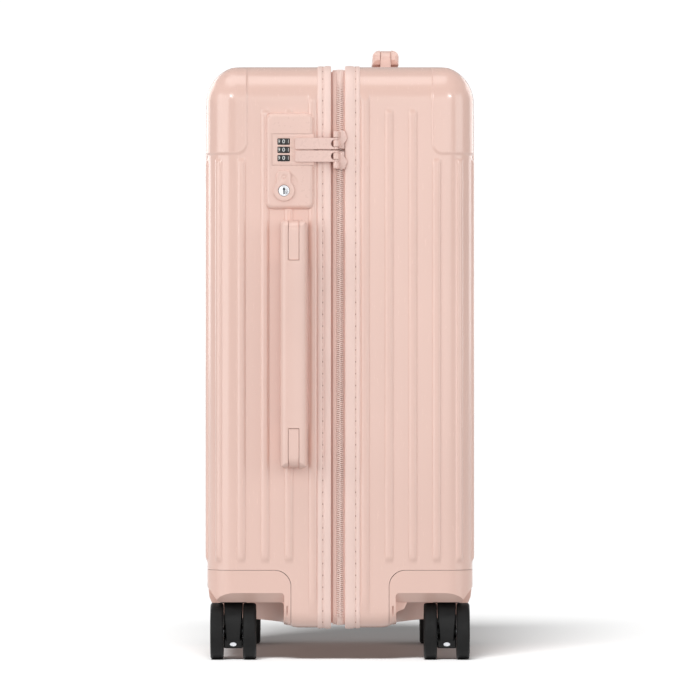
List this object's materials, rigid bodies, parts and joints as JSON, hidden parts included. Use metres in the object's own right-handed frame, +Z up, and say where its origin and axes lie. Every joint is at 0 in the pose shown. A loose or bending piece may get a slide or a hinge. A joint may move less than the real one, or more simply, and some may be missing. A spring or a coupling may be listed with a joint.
{
  "type": "hard shell suitcase on wheels",
  "caption": "Upright hard shell cabin suitcase, ribbed and glossy, with a zip, number lock, carry handles, telescopic trolley handle and swivelling casters.",
  "frame": {"origin": "on the floor, under the middle of the whole object's box", "axes": "+Z up, +X towards the side with the lock and the side handle, -Y towards the front shell, +Y towards the back shell with the trolley handle"},
  "size_m": [0.4152, 0.23, 0.5316],
  "materials": {
    "shell": "gloss polycarbonate",
    "housing": "gloss",
    "trim": "satin with stitching",
    "zip_tape": "woven",
    "zip_teeth": "satin",
    "lining": "woven",
    "divider": "woven",
    "webbing": "ribbed",
    "buckle": "matte",
    "lock": "satin",
    "dial": "satin",
    "key_metal": "polished",
    "zip_metal": "satin paint",
    "handle": "satin",
    "trolley_plastic": "satin",
    "tube": "anodised",
    "fork": "satin",
    "steel": "brushed",
    "bush": "matte",
    "tyre": "matte"
  },
  "bodies": {
    "back_case": {"back_shell": "shell", "back_trim": "trim", "back_zip_tape": "zip_tape", "back_zip_teeth": "zip_teeth", "back_lining": "lining", "pack_straps": "webbing", "strap_buckle": "buckle", "hinge_fabric": "zip_tape", "top_handle_mounts": "handle", "trolley_bezel": "trolley_plastic", "trolley_outer_tubes": "tube", "wheel_housing_back_lock": "housing", "wheel_housing_back_hinge": "housing", "back_swivel_bushes": "bush", "back_housing_screws": "steel"},
    "front_case": {"front_shell": "shell", "front_trim": "trim", "front_zip_tape": "zip_tape", "front_zip_teeth": "zip_teeth", "front_lining": "lining", "front_divider": "divider", "lock_panel": "lock", "lock_insert": "lock", "lock_escutcheon": "lock", "dial_spindle": "steel", "side_handle_mounts": "handle", "wheel_housing_front_lock": "housing", "wheel_housing_front_hinge": "housing", "front_swivel_bushes": "bush", "front_housing_screws": "steel"},
    "dial_1": {"dial_1": "dial"},
    "dial_2": {"dial_2": "dial"},
    "dial_3": {"dial_3": "dial"},
    "key_plug": {"key_plug": "key_metal"},
    "zip_slider_upper": {"zip_slider_upper": "zip_metal"},
    "zip_slider_lower": {"zip_slider_lower": "zip_metal"},
    "zip_pull_upper": {"zip_pull_upper": "zip_metal"},
    "zip_pull_lower": {"zip_pull_lower": "zip_metal"},
    "side_handle": {"side_handle_grip": "handle"},
    "top_handle": {"top_handle_grip": "handle"},
    "trolley_middle": {"trolley_middle_tubes": "tube"},
    "trolley_inner": {"trolley_inner_tubes": "tube", "trolley_grip": "trolley_plastic"},
    "trolley_button": {"trolley_button": "trolley_plastic"},
    "caster_front_lock": {"caster_fork_front_lock": "fork", "caster_axle_front_lock": "steel"},
    "wheel_front_lock_outer": {"wheel_front_lock_outer": "tyre"},
    "wheel_front_lock_inner": {"wheel_front_lock_inner": "tyre"},
    "caster_front_hinge": {"caster_fork_front_hinge": "fork", "caster_axle_front_hinge": "steel"},
    "wheel_front_hinge_outer": {"wheel_front_hinge_outer": "tyre"},
    "wheel_front_hinge_inner": {"wheel_front_hinge_inner": "tyre"},
    "caster_back_lock": {"caster_fork_back_lock": "fork", "caster_axle_back_lock": "steel"},
    "wheel_back_lock_outer": {"wheel_back_lock_outer": "tyre"},
    "wheel_back_lock_inner": {"wheel_back_lock_inner": "tyre"},
    "caster_back_hinge": {"caster_fork_back_hinge": "fork", "caster_axle_back_hinge": "steel"},
    "wheel_back_hinge_outer": {"wheel_back_hinge_outer": "tyre"},
    "wheel_back_hinge_inner": {"wheel_back_hinge_inner": "tyre"}
  },
  "joints": [
    {"name": "case_opening", "type": "hinge", "parent": "back_case", "child": "front_case", "pos_m": [-0.2094, 0, 0.27], "axis": [0, 0, -1], "range_deg": [0, 180]},
    {"name": "dial_1_turn", "type": "hinge", "parent": "front_case", "child": "dial_1", "pos_m": [0.1821, -0.04865, 0.44835], "axis": [0, 0, 1], "continuous": true},
    {"name": "dial_2_turn", "type": "hinge", "parent": "front_case", "child": "dial_2", "pos_m": [0.1821, -0.04865, 0.4412], "axis": [0, 0, 1], "continuous": true},
    {"name": "dial_3_turn", "type": "hinge", "parent": "front_case", "child": "dial_3", "pos_m": [0.1821, -0.04865, 0.43405], "axis": [0, 0, 1], "continuous": true},
    {"name": "key_turn", "type": "hinge", "parent": "front_case", "child": "key_plug", "pos_m": [0.1836, -0.0484, 0.406], "axis": [1, 0, 0], "range_deg": [0, 90]},
    {"name": "slider_upper_travel", "type": "slide", "parent": "front_case", "child": "zip_slider_upper", "axis": [0, 0, 1], "range_m": [0, 0.024]},
    {"name": "slider_lower_travel", "type": "slide", "parent": "front_case", "child": "zip_slider_lower", "axis": [0, 0, -1], "range_m": [0, 0.042]},
    {"name": "pull_upper_lift", "type": "hinge", "parent": "zip_slider_upper", "child": "zip_pull_upper", "pos_m": [0.1896, -0.0034, 0.44665], "axis": [0, 0, 1], "range_deg": [0, 150]},
    {"name": "pull_lower_lift", "type": "hinge", "parent": "zip_slider_lower", "child": "zip_pull_lower", "pos_m": [0.1896, -0.0034, 0.43575], "axis": [0, 0, 1], "range_deg": [0, 150]},
    {"name": "side_handle_pull", "type": "slide", "parent": "front_case", "child": "side_handle", "axis": [1, 0, 0], "range_m": [0, 0.015], "stiffness_N_per_m": 250, "springref_m": -0.006},
    {"name": "top_handle_pull", "type": "slide", "parent": "back_case", "child": "top_handle", "axis": [0, 0, 1], "range_m": [0, 0.015], "stiffness_N_per_m": 250, "springref_m": -0.006},
    {"name": "trolley_lower_stage", "type": "slide", "parent": "back_case", "child": "trolley_middle", "axis": [0, 0, 1], "range_m": [0, 0.22]},
    {"name": "trolley_upper_stage", "type": "slide", "parent": "trolley_middle", "child": "trolley_inner", "axis": [0, 0, 1], "range_m": [0, 0.22]},
    {"name": "trolley_button_press", "type": "slide", "parent": "trolley_inner", "child": "trolley_button", "axis": [0, 0, 1], "range_m": [-0.003, 0], "stiffness_N_per_m": 400, "springref_m": 0.002},
    {"name": "swivel_front_lock", "type": "hinge", "parent": "front_case", "child": "caster_front_lock", "pos_m": [0.1476, -0.0925, 0.068], "axis": [0, 0, 1], "continuous": true},
    {"name": "spin_front_lock_outer", "type": "hinge", "parent": "caster_front_lock", "child": "wheel_front_lock_outer", "pos_m": [0.1606, -0.10665, 0.0245], "axis": [0, 1, 0], "continuous": true},
    {"name": "spin_front_lock_inner", "type": "hinge", "parent": "caster_front_lock", "child": "wheel_front_lock_inner", "pos_m": [0.1606, -0.07835, 0.0245], "axis": [0, 1, 0], "continuous": true},
    {"name": "swivel_front_hinge", "type": "hinge", "parent": "front_case", "child": "caster_front_hinge", "pos_m": [-0.1704, -0.0925, 0.068], "axis": [0, 0, 1], "continuous": true},
    {"name": "spin_front_hinge_outer", "type": "hinge", "parent": "caster_front_hinge", "child": "wheel_front_hinge_outer", "pos_m": [-0.1574, -0.10665, 0.0245], "axis": [0, 1, 0], "continuous": true},
    {"name": "spin_front_hinge_inner", "type": "hinge", "parent": "caster_front_hinge", "child": "wheel_front_hinge_inner", "pos_m": [-0.1574, -0.07835, 0.0245], "axis": [0, 1, 0], "continuous": true},
    {"name": "swivel_back_lock", "type": "hinge", "parent": "back_case", "child": "caster_back_lock", "pos_m": [0.1476, 0.0925, 0.068], "axis": [0, 0, 1], "continuous": true},
    {"name": "spin_back_lock_outer", "type": "hinge", "parent": "caster_back_lock", "child": "wheel_back_lock_outer", "pos_m": [0.1606, 0.10665, 0.0245], "axis": [0, 1, 0], "continuous": true},
    {"name": "spin_back_lock_inner", "type": "hinge", "parent": "caster_back_lock", "child": "wheel_back_lock_inner", "pos_m": [0.1606, 0.07835, 0.0245], "axis": [0, 1, 0], "continuous": true},
    {"name": "swivel_back_hinge", "type": "hinge", "parent": "back_case", "child": "caster_back_hinge", "pos_m": [-0.1704, 0.0925, 0.068], "axis": [0, 0, 1], "continuous": true},
    {"name": "spin_back_hinge_outer", "type": "hinge", "parent": "caster_back_hinge", "child": "wheel_back_hinge_outer", "pos_m": [-0.1574, 0.10665, 0.0245], "axis": [0, 1, 0], "continuous": true},
    {"name": "spin_back_hinge_inner", "type": "hinge", "parent": "caster_back_hinge", "child": "wheel_back_hinge_inner", "pos_m": [-0.1574, 0.07835, 0.0245], "axis": [0, 1, 0], "continuous": true}
  ]
}
